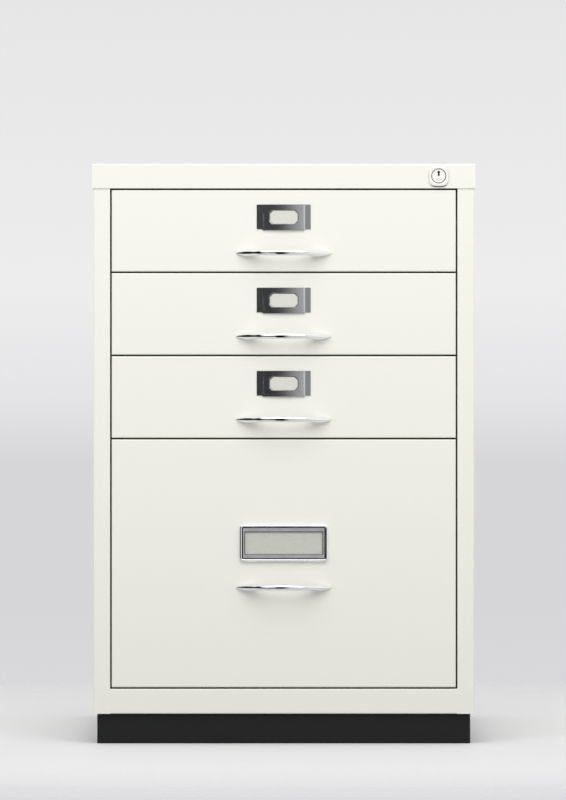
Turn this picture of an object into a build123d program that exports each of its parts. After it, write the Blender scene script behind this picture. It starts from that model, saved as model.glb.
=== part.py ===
from build123d import *
from math import cos, radians, sin, sqrt
import os

os.makedirs("parts", exist_ok=True)

# Steel pedestal with three stationery drawers over one filing drawer. Millimetres.
# X runs left to right, Y front to back and Z up. The floor is Z 0 and the origin is the
# middle of the carcass on the floor.

# Carcass, folded from thin sheet
carcass_width = 467.0
carcass_depth = 619.0
carcass_sheet = 1.0
carcass_bend = 0.5
stile_width = 20.5
stile_return = 18.0
rear_flange = 15.0
top_flange = 15.0
base_rail_height = 30.5
floor_flange = 20.0

# Cap, a folded pan turned upside down over the carcass
cap_height = 30.0
cap_sheet = 1.2
cap_round = 1.5
cap_fit = 0.3

# Plinth, a folded ring under the carcass
plinth_height = 36.5
plinth_inset = 4.5
plinth_sheet = 1.2
plinth_corner = 3.0
plinth_flange = 15.0
plinth_screw_radius = 2.4
plinth_screw_length = 7.0
plinth_screw_head_radius = 4.5
plinth_screw_head_height = 3.2
plinth_screw_spacing_y = 500.0
floor_hole_clearance = 0.3
screw_clearance = 0.05

# Drawer fronts, folded pans with an inner skin
small_drawers = 3
small_front_height = 100.0
file_front_height = 304.0
front_gap = 2.0
front_depth = 18.0
front_sheet = 1.0
front_round = 1.5

# Drawer trays
tray_side_gap = 14.0
tray_length = 560.0
tray_sheet = 1.0
tray_hem = 6.0
tray_lift = 9.0
small_tray_drop = 16.0
file_tray_drop = 50.0

# Hanging file rails on the filing drawer
rail_sheet = 1.2
rail_blade_height = 13.0

# Runner space beside each tray, and the uprights that the runners hook on
runner_space = 12.7
runner_length = 550.0
runner_setback = 7.5
runner_sheet = 1.2
upright_sheet = 1.2
upright_crown = 30.0
upright_flange = 12.0
upright_end_gap = 10.0
front_upright_from_front = 54.5
rear_upright_from_back = 79.5
hook_width = 10.0
hook_neck_height = 4.0
hook_drop = 4.0
hook_play = 0.3

# Roller runners of the stationery drawers
roller_runner_rise = 6.0
roller_runner_height = 30.0
roller_radius = 7.5
roller_width = 5.3
roller_play = 0.1
axle_radius = 2.5
axle_clearance = 0.05
axle_head_radius = 4.0
axle_head = 0.8
channel_lip_u = 3.6
channel_lip_height = 3.6
channel_top_u = 6.5
channel_top_lip = 4.0
drawer_flange_level = 22.8
drawer_flange_width = 11.2
drawer_flange_lip = 5.8
drawer_web_start = 4.0
cabinet_roller_u = 4.2
drawer_roller_u = 5.1
roller_end_inset = 12.0

# Ball slides of the filing drawer
slide_rise = 60.0
ball_radius = 1.5
race_clearance = 0.1
outer_ball_u = 7.0
outer_ball_z = 19.7
inner_ball_u = 5.0
inner_ball_z = 15.3
curl_angle = 110.0
middle_web_u = 9.9
inner_flange_z = 13.7
inner_flange_width = 6.8
cage_sheet = 0.8
outer_cage_web_u = 11.1
inner_cage_web_u = 8.2
outer_cage_reach = 5.9
inner_cage_reach = 3.9
cage_length = 260.0
cage_margin = 10.0
file_travel = 540.0

# Bow handle
handle_pitch = 96.0
handle_tip = 10.0
handle_projection = 25.0
grip_depth = 5.0
grip_height = 6.5
handle_foot_height = 10.0
handle_tip_height = 1.8
handle_tip_rise = 1.6
handle_foot_length = 20.0
leaf_widest = 17.0
leaf_length = 25.0
leaf_fullness = 0.72
handle_screw_radius = 2.0
handle_screw_clearance = 0.15
handle_screw_grip = 5.5
screw_end_gap = 0.3
handle_screw_head_radius = 3.8
handle_screw_head_height = 2.6
small_handle_drop = 27.5
file_handle_drop = 29.5

# Label holder of the stationery drawers, pressed from steel strip
holder_width = 66.3
holder_height = 30.4
holder_middle = 49.0
holder_lip = 1.2
holder_step = 2.2
holder_crown = 1.1
holder_sheet = 0.8
holder_window_width = 35.0
holder_window_height = 16.4
holder_window_chamfer = 4.0
holder_rise = 17.0
card_thickness = 0.4
card_play = 0.5
card_clearance = 0.05

# Framed label holder of the filing drawer
frame_corner = 5.0
frame_rim_width = 3.0
frame_rim_height = 4.4
frame_rim_bevel = 1.2
frame_plate = 2.6
frame_side_border = 3.5
frame_top_border = 6.0
frame_window_width = 95.0
frame_window_height = 27.0
frame_window_bevel = 1.2
frame_pocket_margin = 2.0
window_thickness = 0.8
file_card_thickness = 0.5
frame_rise = 25.0

# Lock in the right end of the fascia
lock_inset = 45.0
escutcheon_width = 24.0
escutcheon_height = 25.0
escutcheon_depth = 3.5
escutcheon_corner = 6.0
escutcheon_bulge = 0.8
escutcheon_bevel = 1.4
escutcheon_bore_radius = 9.0
plug_head_radius = 8.2
plug_head_proud = 3.0
plug_shank_radius = 5.95
plug_clearance = 0.05
barrel_radius = 7.9
barrel_flange_radius = 8.9
barrel_flange = 1.2
barrel_length = 19.0
barrel_hole_clearance = 0.2
nut_across_flats = 22.0
nut_thickness = 3.0
keyway_width = 2.2
keyway_length = 6.3
keyway_bulb_radius = 1.7
keyway_depth = 4.0
cam_gap = 0.5
cam_thickness = 2.0
cam_hub_radius = 7.0
cam_eye_radius = 4.0
cam_peg_arm = 8.0
cam_peg_radius = 2.0
cam_peg_length = 5.0
cam_square = 6.0
cam_rest_angle = -45.0
cam_swing = 90.0
cam_screw_radius = 1.6
cam_screw_length = 8.0
cam_screw_head_radius = 3.0
cam_screw_head_height = 1.6

# Lock bar, its guides and the studs beside the runners of each drawer
bar_thickness = 2.0
bar_width = 14.0
bar_from_opening = 1.5
bar_behind_barrel = 4.0
bar_tail = 12.0
fork_wall = 4.0
fork_clearance = 0.4
fork_overlap = 0.3
fork_slot_margin = 1.0
lug_height = 10.0
lug_depth = 5.0
lug_reach = 11.5
lug_clearance = 2.0
stud_radius = 3.0
stud_length = 11.5
stud_clearance = 1.5
small_stud_drop = 15.0
file_stud_drop = 30.0
guide_height = 16.0
guide_wall = 3.0
guide_play = 0.3
guide_lip = 1.5
guide_drops = (45.0, 210.0, 405.0)

# Flats that small and larger round pieces are drawn with, to keep the model light
small_flats = 8
large_flats = 20

# Places that follow from the sizes
front_y = -carcass_depth / 2
back_y = carcass_depth / 2
side_x = carcass_width / 2
side_inside = side_x - carcass_sheet
opening_x = side_x - stile_width
rail_top = plinth_height + base_rail_height
floor_top = plinth_height + carcass_sheet
file_bottom = rail_top + front_gap
small_bottoms = [
    file_bottom + file_front_height + front_gap + i * (small_front_height + front_gap)
    for i in reversed(range(small_drawers))
]
cap_bottom = small_bottoms[0] + small_front_height + front_gap
overall_height = cap_bottom + cap_height
cap_underside = overall_height - cap_sheet
cap_overhang = cap_sheet + cap_fit
fascia_y = front_y - cap_overhang
fascia_inside = fascia_y + cap_sheet
front_width = 2 * (opening_x - front_gap)
tray_x = opening_x - tray_side_gap
tray_front = front_y + front_depth
tray_back = tray_front + tray_length
runner_front = tray_front + runner_setback
runner_back = runner_front + runner_length
upright_x = tray_x + runner_space
small_tray_height = small_front_height - tray_lift - small_tray_drop
file_tray_height = file_front_height - tray_lift - file_tray_drop
file_tray_bottom = file_bottom + tray_lift
small_tray_bottoms = [bottom + tray_lift for bottom in small_bottoms]
upright_bottom = floor_top + floor_flange
upright_top = cap_bottom - upright_end_gap
front_upright_y = front_y + front_upright_from_front
rear_upright_y = back_y - rear_upright_from_back - upright_crown

nodes = {}


def along_x(outline, start, end):
    """Solid of an outline drawn in Y and Z, from one X to another."""
    return Pos(start, 0, 0) * extrude(Plane.YZ * outline, amount=end - start)


def along_y(outline, start, end):
    """Solid of an outline drawn in X and Z, from one Y to another."""
    return Pos(0, end, 0) * extrude(Plane.XZ * outline, amount=end - start)


def along_z(outline, start, end):
    """Solid of an outline drawn in X and Y, from one Z to another."""
    return Pos(0, 0, start) * extrude(outline, amount=end - start)


def block(x, y, z):
    """Square-cornered solid between three pairs of limits."""
    middle = [(low + high) / 2 for low, high in (x, y, z)]
    return Pos(*middle) * Box(*[high - low for low, high in (x, y, z)])


def small_round(radius, hole=False, flats=small_flats):
    """Outline of a small round bar or hole. A bar's corners lie on the true circle, and so
    do the flats of a hole, so the bar turns freely in it."""
    return RegularPolygon(radius, flats, major_radius=not hole)


def rod_x(radius, start, end, y, z):
    """Small round bar along X."""
    return along_x(Pos(y, z) * small_round(radius), start, end)


def rod_y(radius, x, start, end, z):
    """Small round bar along Y."""
    return along_y(Pos(x, z) * small_round(radius), start, end)


def hole_y(radius, x, start, end, z):
    """Cutter for a small round hole along Y."""
    return along_y(Pos(x, z) * small_round(radius, hole=True), start, end)


def thickened(path, sheet, side=Side.LEFT):
    """Section of a sheet. One face of it follows the path, and the rest is on the given side."""
    return make_face(offset(path, amount=sheet, kind=Kind.INTERSECTION, side=side, closed=True))


def folded(corners, sheet, side=Side.LEFT, bend=0.0):
    """Section of a folded sheet. The corners lie on one face of it, and the rest of its
    thickness is on the given side. A bend is the radius inside each fold that shows; the
    folds of hidden pieces are drawn sharp."""
    if bend:
        path = FilletPolyline(*corners, radius=bend + sheet)
    else:
        path = Polyline(*corners)
    return thickened(path, sheet, side)


def pan(width, length, depth, sheet, edge_round):
    """Folded pan that lies on its face at Z 0 and opens upwards."""
    outer = extrude(Rectangle(width, length), depth)
    outer = fillet(outer.faces().sort_by(Axis.Z)[0].edges(), edge_round)
    return outer - Pos(0, 0, sheet) * extrude(Rectangle(width - 2 * sheet, length - 2 * sheet), depth)


def pair(shape):
    """A right-hand piece with its left-hand mirror image."""
    return shape + mirror(shape, about=Plane.YZ)


def screw(shank_radius, length, head_radius, head_height):
    """Screw whose head sits on Z 0 and whose shank points down."""
    shank = along_z(small_round(shank_radius), -length, 0)
    return shank + along_z(small_round(head_radius), 0, head_height)


# Side panels: stile, side and rear flange folded from one sheet, with a flange under the cap
def side_panel():
    line = [
        (opening_x, front_y + stile_return),
        (opening_x, front_y),
        (side_x, front_y),
        (side_x, back_y),
        (side_x - rear_flange, back_y),
    ]
    full = folded(line, carcass_sheet, bend=carcass_bend)
    beside_drawers = along_z(full, rail_top, cap_underside)
    without_return = folded(line[1:], carcass_sheet, bend=carcass_bend)
    beside_rail = along_z(without_return, plinth_height, rail_top)
    under_cap = block(
        (side_x - top_flange, side_inside),
        (front_y + carcass_sheet, back_y - carcass_sheet),
        (cap_underside - carcass_sheet, cap_underside),
    )
    return beside_drawers + beside_rail + under_cap


nodes["side_panel_right"] = side_panel()
nodes["side_panel_left"] = mirror(nodes["side_panel_right"], about=Plane.YZ)

# Back panel: a flat sheet against the rear flanges
back_panel_x = side_inside - carcass_bend
nodes["back_panel"] = block(
    (-back_panel_x, back_panel_x),
    (back_y - 2 * carcass_sheet, back_y - carcass_sheet),
    (floor_top, cap_underside - carcass_sheet),
)

# Plinth and the screws that hold it under the floor
plinth_x = side_x - plinth_inset
plinth_y = back_y - plinth_inset
plinth_screw_x = plinth_x - plinth_sheet - plinth_flange / 2
plinth_screw_places = [
    (x, y)
    for x in (-plinth_screw_x, plinth_screw_x)
    for y in (-plinth_screw_spacing_y / 2, plinth_screw_spacing_y / 2)
]


def plinth():
    ring = along_z(RectangleRounded(2 * plinth_x, 2 * plinth_y, plinth_corner), 0, plinth_height)
    room = Rectangle(2 * (plinth_x - plinth_sheet), 2 * (plinth_y - plinth_sheet))
    ring -= along_z(room, plinth_sheet, plinth_height - plinth_sheet)
    edge = plinth_sheet + plinth_flange
    ring -= along_z(Rectangle(2 * (plinth_x - edge), 2 * (plinth_y - edge)), 0, plinth_height)
    hole = small_round(plinth_screw_radius + screw_clearance, hole=True)
    for x, y in plinth_screw_places:
        ring -= Pos(x, y) * along_z(hole, plinth_height - 2 * plinth_sheet, plinth_height)
    return ring


nodes["plinth"] = plinth()
plinth_screw = screw(
    plinth_screw_radius, plinth_screw_length, plinth_screw_head_radius, plinth_screw_head_height
)
nodes["plinth_screws"] = Compound([Pos(x, y, floor_top) * plinth_screw for x, y in plinth_screw_places])


# Base pan: the rail across the front, and a floor that turns up at the sides and back
def base_pan():
    rail_line = [
        (front_y + stile_return, rail_top),
        (front_y, rail_top),
        (front_y, plinth_height),
        (front_y + stile_return, plinth_height),
    ]
    rail = along_x(folded(rail_line, carcass_sheet, bend=carcass_bend), -opening_x, opening_x)
    floor_line = [
        (-side_inside, floor_top + floor_flange),
        (-side_inside, plinth_height),
        (side_inside, plinth_height),
        (side_inside, floor_top + floor_flange),
    ]
    rear = back_y - 2 * carcass_sheet
    floor = along_y(folded(floor_line, carcass_sheet), front_y + carcass_sheet + carcass_bend, rear)
    upturn = block(
        (-side_inside, side_inside),
        (rear - carcass_sheet, rear),
        (floor_top, floor_top + floor_flange),
    )
    shape = rail + floor + upturn
    hole = small_round(plinth_screw_radius + floor_hole_clearance, hole=True)
    for x, y in plinth_screw_places:
        shape -= Pos(x, y) * along_z(hole, plinth_height, floor_top)
    return shape


nodes["base_pan"] = base_pan()

# Cap with the hole for the lock in its fascia
lock_x = side_x + cap_overhang - lock_inset
lock_z = cap_bottom + cap_height / 2
cap_width = carcass_width + 2 * cap_overhang
cap_depth = carcass_depth + 2 * cap_overhang
cap = Pos(0, 0, overall_height) * Rot(180, 0, 0) * pan(cap_width, cap_depth, cap_height, cap_sheet, cap_round)
nodes["top_cap"] = cap - hole_y(
    barrel_radius + barrel_hole_clearance, lock_x, fascia_y, fascia_inside, lock_z
)


# Runners hook into slots in the uprights. The hooks and slots share one place and size.
hook_out = runner_space + upright_sheet + hook_play


def hook(level, middle):
    """Neck through the upright's slot, with a tongue that drops behind the crown."""
    neck = (level, level + hook_neck_height)
    y = (middle - hook_width / 2, middle + hook_width / 2)
    shape = block((tray_x + runner_space - runner_sheet, tray_x + hook_out), y, neck)
    tongue = (level - hook_drop, level + hook_neck_height)
    return shape + block((tray_x + hook_out, tray_x + hook_out + runner_sheet), y, tongue)


def hook_slot(level, middle):
    """Slot that lets a whole hook through before it drops."""
    half = hook_width / 2 + hook_play
    return block(
        (upright_x - upright_sheet, upright_x + 2 * upright_sheet),
        (middle - half, middle + half),
        (level, level + hook_neck_height + hook_drop + hook_play),
    )


hook_ys = [front_upright_y + upright_crown / 2, rear_upright_y + upright_crown / 2]
roller_hook_level = roller_runner_rise + roller_runner_height / 2
slide_hook_level = slide_rise
hook_levels = [bottom + roller_hook_level for bottom in small_tray_bottoms]
hook_levels.append(file_tray_bottom + slide_hook_level)


def upright(start_y):
    """Hat-section upright on the side panel, its crown at the runners."""
    inside = side_inside - upright_sheet
    end_y = start_y + upright_crown
    line = [
        (inside, start_y - upright_flange),
        (inside, start_y),
        (upright_x, start_y),
        (upright_x, end_y),
        (inside, end_y),
        (inside, end_y + upright_flange),
    ]
    section = folded(line, upright_sheet, Side.RIGHT)
    shape = along_z(section, upright_bottom, upright_top)
    for level in hook_levels:
        shape -= hook_slot(level, start_y + upright_crown / 2)
    return shape


nodes["runner_uprights"] = pair(upright(front_upright_y) + upright(rear_upright_y))


# Drawer fronts and trays
def handle_holes(level, radius):
    """Cutters for the two screws of a handle, through both skins of a front."""
    left = hole_y(radius, -handle_pitch / 2, front_y, tray_front, level)
    return left + mirror(left, about=Plane.YZ)


def drawer_front(bottom, height, handle_level):
    face = pan(front_width, height, front_depth, front_sheet, front_round)
    face = Plane((0, front_y, bottom + height / 2), x_dir=(1, 0, 0), z_dir=(0, 1, 0)) * face
    return face - handle_holes(handle_level, handle_screw_radius + handle_screw_clearance)


def drawer_tray(bottom, height, front_bottom, front_height, handle_level):
    """Tray with hemmed sides. Its front wall is the inner skin of the drawer front."""
    top = bottom + height
    line = [
        (-tray_x + tray_hem, top),
        (-tray_x, top),
        (-tray_x, bottom),
        (tray_x, bottom),
        (tray_x, top),
        (tray_x - tray_hem, top),
    ]
    shape = along_y(folded(line, tray_sheet), tray_front, tray_back)
    rear_wall = Pos(0, bottom + height / 2) * Rectangle(2 * tray_x, height)
    shape += along_y(rear_wall, tray_back - tray_sheet, tray_back)
    skin = Rectangle(front_width - 2 * front_sheet, front_height - 2 * front_sheet)
    skin = Pos(0, front_bottom + front_height / 2) * skin
    shape += along_y(skin, tray_front - front_sheet, tray_front)
    return shape - handle_holes(handle_level, handle_screw_radius + handle_screw_clearance)


# Bow handle: the bow as seen from above, cut to its outline as seen from the front. Its
# leaf-shaped feet lie on the face and narrow to the grip.
def handle(level):
    end = handle_pitch / 2 + handle_tip
    foot_end = end - handle_foot_length
    bow = [
        ThreePointArc((-end, handle_tip_rise), (0, handle_projection), (end, handle_tip_rise)),
        Polyline((end, handle_tip_rise), (end, 0), (foot_end, 0)),
        ThreePointArc((foot_end, 0), (0, handle_projection - grip_depth), (-foot_end, 0)),
        Polyline((-foot_end, 0), (-end, 0), (-end, handle_tip_rise)),
    ]
    above = Plane((0, front_y, level), x_dir=(1, 0, 0), z_dir=(0, 0, -1))
    shape = extrude(above * make_face(bow), amount=handle_foot_height / 2, both=True)

    tip = handle_tip_height / 2
    foot = handle_foot_height / 2
    widest = end - leaf_widest
    leaf_middle = ((end + widest) / 2, tip + leaf_fullness * (foot - tip))
    upper = [
        ThreePointArc((end, tip), leaf_middle, (widest, foot)),
        Line((widest, foot), (end - leaf_length, grip_height / 2)),
    ]
    right = upper + [mirror(edge, about=Plane.XZ) for edge in upper]
    left = [mirror(edge, about=Plane.YZ) for edge in right]
    ends = [Line((x, -tip), (x, tip)) for x in (-end, end)]
    neck = end - leaf_length
    grip = [Line((-neck, z), (neck, z)) for z in (-grip_height / 2, grip_height / 2)]
    outline = Pos(0, level) * make_face(right + left + ends + grip)
    shape = shape & along_y(outline, front_y - handle_projection, front_y)
    for x in (-handle_pitch / 2, handle_pitch / 2):
        shape -= hole_y(handle_screw_radius + screw_clearance, x, front_y - handle_screw_grip, front_y, level)
    return shape


def handle_screws(level):
    body = screw(
        handle_screw_radius,
        front_depth + handle_screw_grip - screw_end_gap,
        handle_screw_head_radius,
        handle_screw_head_height,
    )
    return Compound(
        [
            Plane((x, tray_front, level), x_dir=(1, 0, 0), z_dir=(0, 1, 0)) * body
            for x in (-handle_pitch / 2, handle_pitch / 2)
        ]
    )


# Label holder of a stationery drawer: side flanges on the face, a raised middle that bulges
# a little and has a window, and a card slipped in behind it that follows the bulge
plate_y = front_y - holder_sheet
raised_y = plate_y - holder_step


def label_holder(level):
    half = holder_width / 2
    middle = holder_middle / 2
    edge_y = raised_y + holder_crown
    left = Polyline((-half, plate_y), (-middle - holder_step / 2, plate_y), (-middle, edge_y))
    crown = ThreePointArc((-middle, edge_y), (0, raised_y), (middle, edge_y))
    right = Polyline((middle, edge_y), (middle + holder_step / 2, plate_y), (half, plate_y))
    section = thickened(Wire(left.edges() + crown.edges() + right.edges()), holder_sheet)
    top = level + holder_height / 2
    bottom = level - holder_height / 2
    shape = along_z(section, bottom - holder_lip, top)
    for end in (-1, 1):
        waste = sorted((end * (middle + holder_step / 2), end * (half + holder_sheet)))
        shape -= block(waste, (raised_y, front_y), (bottom - holder_lip, bottom))
    window = Rectangle(holder_window_width, holder_window_height)
    window = chamfer(window.vertices(), holder_window_chamfer)
    return shape - along_y(Pos(0, level) * window, raised_y - holder_sheet, front_y)


def label_card(level):
    middle = holder_middle / 2
    crown_radius = (middle * middle + holder_crown * holder_crown) / (2 * holder_crown)
    radius = crown_radius - holder_sheet - card_clearance
    half = middle - holder_sheet - card_play
    card_y = raised_y + holder_sheet + card_clearance
    edge_y = card_y + radius - sqrt(radius * radius - half * half)
    section = thickened(ThreePointArc((-half, edge_y), (0, card_y), (half, edge_y)), card_thickness)
    return along_z(section, level - holder_height / 2, level + holder_height / 2 - card_play)


# Roller runners of a stationery drawer. Their sections are drawn in the distance out from
# the tray's side and the height over the runner's underside.
roller_start = runner_front + roller_end_inset
roller_end = runner_back - roller_end_inset
cabinet_roller_level = drawer_flange_level - runner_sheet - roller_play - roller_radius
drawer_roller_level = runner_sheet + roller_play + roller_radius


def roller(start_u, y, level):
    bore = small_round(axle_radius + axle_clearance, hole=True)
    ring = Pos(y, level) * (Circle(roller_radius) - bore)
    return along_x(ring, tray_x + start_u, tray_x + start_u + roller_width)


def cabinet_runner(runner_bottom):
    line = [
        (channel_lip_u, channel_lip_height),
        (channel_lip_u, 0),
        (runner_space, 0),
        (runner_space, roller_runner_height),
        (channel_top_u, roller_runner_height),
        (channel_top_u, roller_runner_height - channel_top_lip),
    ]
    section = Pos(tray_x, runner_bottom) * folded(line, runner_sheet)
    shape = along_y(section, runner_front, runner_back)
    level = runner_bottom + cabinet_roller_level
    head = tray_x + cabinet_roller_u - roller_play
    web = tray_x + runner_space - runner_sheet
    shape += rod_x(axle_radius, head, web, roller_start, level)
    shape += rod_x(axle_head_radius, head - axle_head, head, roller_start, level)
    for y in hook_ys:
        shape += hook(runner_bottom + roller_runner_height / 2, y)
    return shape


def drawer_runner(runner_bottom):
    line = [
        (0, drawer_web_start),
        (0, drawer_flange_level),
        (drawer_flange_width, drawer_flange_level),
        (drawer_flange_width, drawer_flange_level - drawer_flange_lip),
    ]
    section = Pos(tray_x, runner_bottom) * folded(line, runner_sheet, Side.RIGHT)
    shape = along_y(section, runner_front, runner_back)
    level = runner_bottom + drawer_roller_level
    head = tray_x + drawer_roller_u + roller_width + roller_play
    shape += rod_x(axle_radius, tray_x + runner_sheet, head, roller_end, level)
    shape += rod_x(axle_head_radius, head, head + axle_head, roller_end, level)
    return shape


# Lock. The key plug turns a cam, whose peg works the fork on top of the lock bar.
barrel_back = fascia_y + barrel_length
plug_face = fascia_y - plug_head_proud
plug_shoulder = fascia_y - barrel_flange - plug_clearance
cam_front = barrel_back + cam_gap
cam_back = cam_front + cam_thickness

barrel_bore = small_round(plug_shank_radius + plug_clearance, hole=True, flats=large_flats)
barrel = small_round(barrel_radius, flats=large_flats) - barrel_bore
barrel_head = small_round(barrel_flange_radius, flats=large_flats) - barrel_bore
nodes["lock_barrel"] = along_y(Pos(lock_x, lock_z) * barrel, fascia_y, barrel_back) + along_y(
    Pos(lock_x, lock_z) * barrel_head, fascia_y - barrel_flange, fascia_y
)



def cushion(width, height, bulge, corner):
    """Rectangle whose sides bulge, with rounded corners."""
    x, z = width / 2, height / 2
    top = ThreePointArc((bulge - x, z - bulge), (0, z), (x - bulge, z - bulge))
    right = ThreePointArc((x - bulge, z - bulge), (x, 0), (x - bulge, bulge - z))
    outline = make_face([top, right, mirror(top, about=Plane.XZ), mirror(right, about=Plane.YZ)])
    return fillet(outline.vertices(), corner)


escutcheon = cushion(escutcheon_width, escutcheon_height, escutcheon_bulge, escutcheon_corner)
escutcheon = extrude(escutcheon, escutcheon_depth)
escutcheon = chamfer(escutcheon.faces().sort_by(Axis.Z)[-1].edges(), escutcheon_bevel)
escutcheon -= along_z(small_round(escutcheon_bore_radius, hole=True, flats=large_flats), 0, escutcheon_depth)
nodes["lock_escutcheon"] = Pos(lock_x, fascia_y, lock_z) * Rot(90, 0, 0) * escutcheon

nut = RegularPolygon(nut_across_flats / 2, 6, major_radius=False)
nut -= small_round(barrel_radius + plug_clearance, hole=True, flats=large_flats)
nodes["lock_barrel_nut"] = along_y(Pos(lock_x, lock_z) * nut, fascia_inside, fascia_inside + nut_thickness)

plug_head = Circle(plug_head_radius)
plug_shank = small_round(plug_shank_radius, flats=large_flats)
plug = along_y(Pos(lock_x, lock_z) * plug_head, plug_face, plug_shoulder)
plug += along_y(Pos(lock_x, lock_z) * plug_shank, plug_shoulder, cam_front)
keyway = Pos(0, keyway_length / 2) * Rectangle(keyway_width, keyway_length)
keyway += Pos(0, keyway_length - keyway_bulb_radius) * small_round(keyway_bulb_radius)
plug -= along_y(Pos(lock_x, lock_z) * keyway, plug_face, plug_face + keyway_depth)
square = Rectangle(cam_square, cam_square)
plug += along_y(Pos(lock_x, lock_z) * square, cam_front, cam_back)
plug -= hole_y(cam_screw_radius + screw_clearance, lock_x, cam_back - cam_screw_length, cam_back, lock_z)
nodes["lock_plug"] = plug

peg_x = cam_peg_arm * cos(radians(cam_rest_angle))
peg_z = cam_peg_arm * sin(radians(cam_rest_angle))
cam = make_hull((Circle(cam_hub_radius) + Pos(peg_x, peg_z) * Circle(cam_eye_radius)).edges())
cam -= Rectangle(cam_square + 2 * plug_clearance, cam_square + 2 * plug_clearance)
cam = along_y(Pos(lock_x, lock_z) * cam, cam_front, cam_back)
cam += rod_y(cam_peg_radius, lock_x + peg_x, cam_back, cam_back + cam_peg_length, lock_z + peg_z)
nodes["lock_cam"] = cam
cam_screw = screw(
    cam_screw_radius, cam_screw_length - screw_end_gap, cam_screw_head_radius, cam_screw_head_height
)
nodes["lock_cam_screw"] = (
    Plane((lock_x, cam_back, lock_z), x_dir=(1, 0, 0), z_dir=(0, 1, 0)) * cam_screw
)

# Lock bar: a strip behind the right stile, with a fork at its top and a lug under the stud of
# each drawer. It rises as the cam turns, and its lugs then stand in front of the studs.
bar_lift = cam_peg_arm * (sin(radians(cam_rest_angle + cam_swing)) - sin(radians(cam_rest_angle)))
bar_x = opening_x + bar_from_opening
bar_front = barrel_back + bar_behind_barrel
fork_z = lock_z + peg_z
fork_top = fork_z + cam_peg_radius + fork_clearance + fork_wall
fork_bottom = fork_z - cam_peg_radius - fork_clearance - fork_wall
fork_tip = lock_x + peg_x - cam_peg_radius + fork_overlap
slot_end = lock_x + cam_peg_arm + cam_peg_radius + fork_slot_margin
lug_y = bar_front + (bar_width - lug_depth) / 2 + lug_depth
stud_y = lug_y + stud_clearance + stud_radius
lowest_stud = file_tray_bottom + file_tray_height - file_stud_drop
small_stud_rise = small_tray_height - small_stud_drop
stud_levels = [bottom + small_stud_rise for bottom in small_tray_bottoms] + [lowest_stud]
lug_tops = [level - stud_radius - lug_clearance for level in stud_levels]


def lock_bar():
    bar_bottom = lowest_stud - stud_radius - lug_clearance - lug_height - bar_tail
    bar_y = (bar_front, bar_front + bar_width)
    shape = block((bar_x, bar_x + bar_thickness), bar_y, (bar_bottom, fork_top))
    fork = block(
        (fork_tip, bar_x + bar_thickness), (bar_front, bar_front + bar_thickness), (fork_bottom, fork_top)
    )
    half = cam_peg_radius + fork_clearance
    fork -= block(
        (fork_tip, slot_end), (bar_front, bar_front + bar_thickness), (fork_z - half, fork_z + half)
    )
    shape += fork
    for top in lug_tops:
        shape += block((bar_x - lug_reach, bar_x), (lug_y - lug_depth, lug_y), (top - lug_height, top))
    return shape


nodes["lock_bar"] = lock_bar()


def lock_stud(level):
    """Stud riveted to the right side of a tray, above its runner, that a lug stops."""
    return rod_x(stud_radius, tray_x, tray_x + stud_length, stud_y, level)


# Guides: moulded clips on the side panel that the lock bar slides in
def bar_guide(top):
    back = bar_x + bar_thickness + guide_play
    front_end = bar_front - guide_play - guide_wall
    rear_end = bar_front + bar_width + guide_play + guide_wall
    mouth = opening_x + guide_play
    line = make_face(
        Polyline(
            (side_inside, front_end),
            (mouth, front_end),
            (mouth, bar_front + guide_lip),
            (bar_x - guide_play, bar_front + guide_lip),
            (bar_x - guide_play, bar_front - guide_play),
            (back, bar_front - guide_play),
            (back, bar_front + bar_width + guide_play),
            (bar_x - guide_play, bar_front + bar_width + guide_play),
            (bar_x - guide_play, bar_front + bar_width - guide_lip),
            (mouth, bar_front + bar_width - guide_lip),
            (mouth, rear_end),
            (side_inside, rear_end),
            close=True,
        )
    )
    return along_z(line, top - guide_height, top)


nodes["lock_bar_guides"] = Compound([bar_guide(cap_bottom - drop) for drop in guide_drops])

# Stationery drawers, from the top down
for number, (front_bottom, bottom) in enumerate(zip(small_bottoms, small_tray_bottoms), start=1):
    name = f"drawer_{number}"
    middle = front_bottom + small_front_height / 2
    handle_level = middle - small_handle_drop
    runner_bottom = bottom + roller_runner_rise
    nodes[f"{name}_front"] = drawer_front(front_bottom, small_front_height, handle_level)
    nodes[f"{name}_tray"] = drawer_tray(
        bottom, small_tray_height, front_bottom, small_front_height, handle_level
    )
    nodes[f"{name}_handle"] = handle(handle_level)
    nodes[f"{name}_handle_screws"] = handle_screws(handle_level)
    nodes[f"{name}_label_holder"] = label_holder(middle + holder_rise)
    nodes[f"{name}_label_card"] = label_card(middle + holder_rise)
    nodes[f"{name}_runners"] = pair(drawer_runner(runner_bottom)) + lock_stud(bottom + small_stud_rise)
    nodes[f"{name}_rollers"] = pair(roller(drawer_roller_u, roller_end, runner_bottom + drawer_roller_level))
    nodes[f"{name}_cabinet_runners"] = pair(cabinet_runner(runner_bottom))
    nodes[f"{name}_cabinet_rollers"] = pair(
        roller(cabinet_roller_u, roller_start, runner_bottom + cabinet_roller_level)
    )

# Filing drawer
file_middle = file_bottom + file_front_height / 2
file_handle_level = file_middle - file_handle_drop
nodes["file_front"] = drawer_front(file_bottom, file_front_height, file_handle_level)
nodes["file_tray"] = drawer_tray(
    file_tray_bottom, file_tray_height, file_bottom, file_front_height, file_handle_level
)
nodes["file_handle"] = handle(file_handle_level)
nodes["file_handle_screws"] = handle_screws(file_handle_level)


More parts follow.
